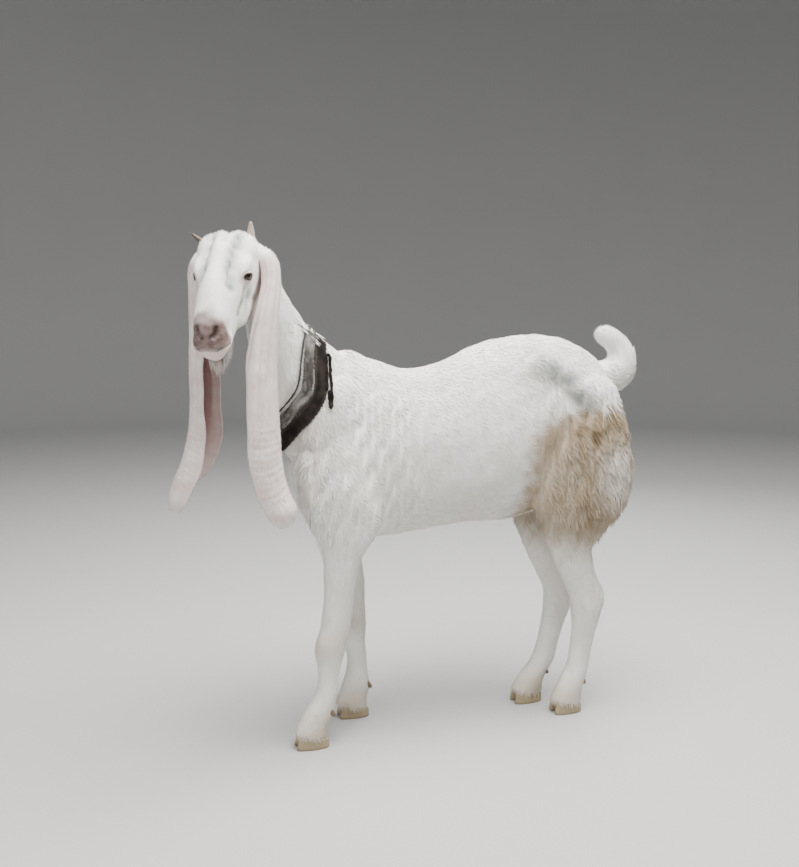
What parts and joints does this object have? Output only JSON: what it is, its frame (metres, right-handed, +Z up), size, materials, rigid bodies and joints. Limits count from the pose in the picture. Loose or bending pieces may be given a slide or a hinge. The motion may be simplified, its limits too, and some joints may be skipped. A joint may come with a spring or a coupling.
{
  "type": "gulabi goat model",
  "caption": "Life-size still model of a standing long-eared white goat with small horns, curled tail, cloven hooves and a loose collar.",
  "frame": {"origin": "middle of the outline's box on the floor under the feet", "axes": "+Z up, the goat faces -X, its left side is towards -Y"},
  "size_m": [1.0586, 0.3394, 1.0943],
  "materials": {
    "coat": "short warm white hair",
    "thigh_coat": "longer cream to tan hair",
    "ear_skin": "thin pink skin with fine white hair",
    "horn": "pale horn",
    "eye": "wet dark eye",
    "hoof": "yellowish horn",
    "collar_strap": "worn dark brown strap",
    "collar_band": "soft pale grey band",
    "collar_cord": "thin black cord"
  },
  "bodies": {
    "root": {"collar_band": "collar_band", "collar_cord": "collar_cord", "collar_knot": "collar_strap", "collar_strap": "collar_strap", "dewclaw_fore_left_inner": "hoof", "dewclaw_fore_left_outer": "hoof", "dewclaw_fore_right_inner": "hoof", "dewclaw_fore_right_outer": "hoof", "dewclaw_hind_left_inner": "hoof", "dewclaw_hind_left_outer": "hoof", "dewclaw_hind_right_inner": "hoof", "dewclaw_hind_right_outer": "hoof", "ear_left": "ear_skin", "ear_right": "ear_skin", "eye_left": "eye", "eye_right": "eye", "foreleg_left": "coat", "foreleg_right": "coat", "head": "coat", "hindleg_left": "coat", "hindleg_right": "coat", "hoof_fore_left_inner": "hoof", "hoof_fore_left_outer": "hoof", "hoof_fore_right_inner": "hoof", "hoof_fore_right_outer": "hoof", "hoof_hind_left_inner": "hoof", "hoof_hind_left_outer": "hoof", "hoof_hind_right_inner": "hoof", "hoof_hind_right_outer": "hoof", "horn_left": "horn", "horn_right": "horn", "neck": "coat", "tail": "coat", "thigh_left": "thigh_coat", "thigh_right": "thigh_coat", "torso": "coat"}
  },
  "joints": []
}
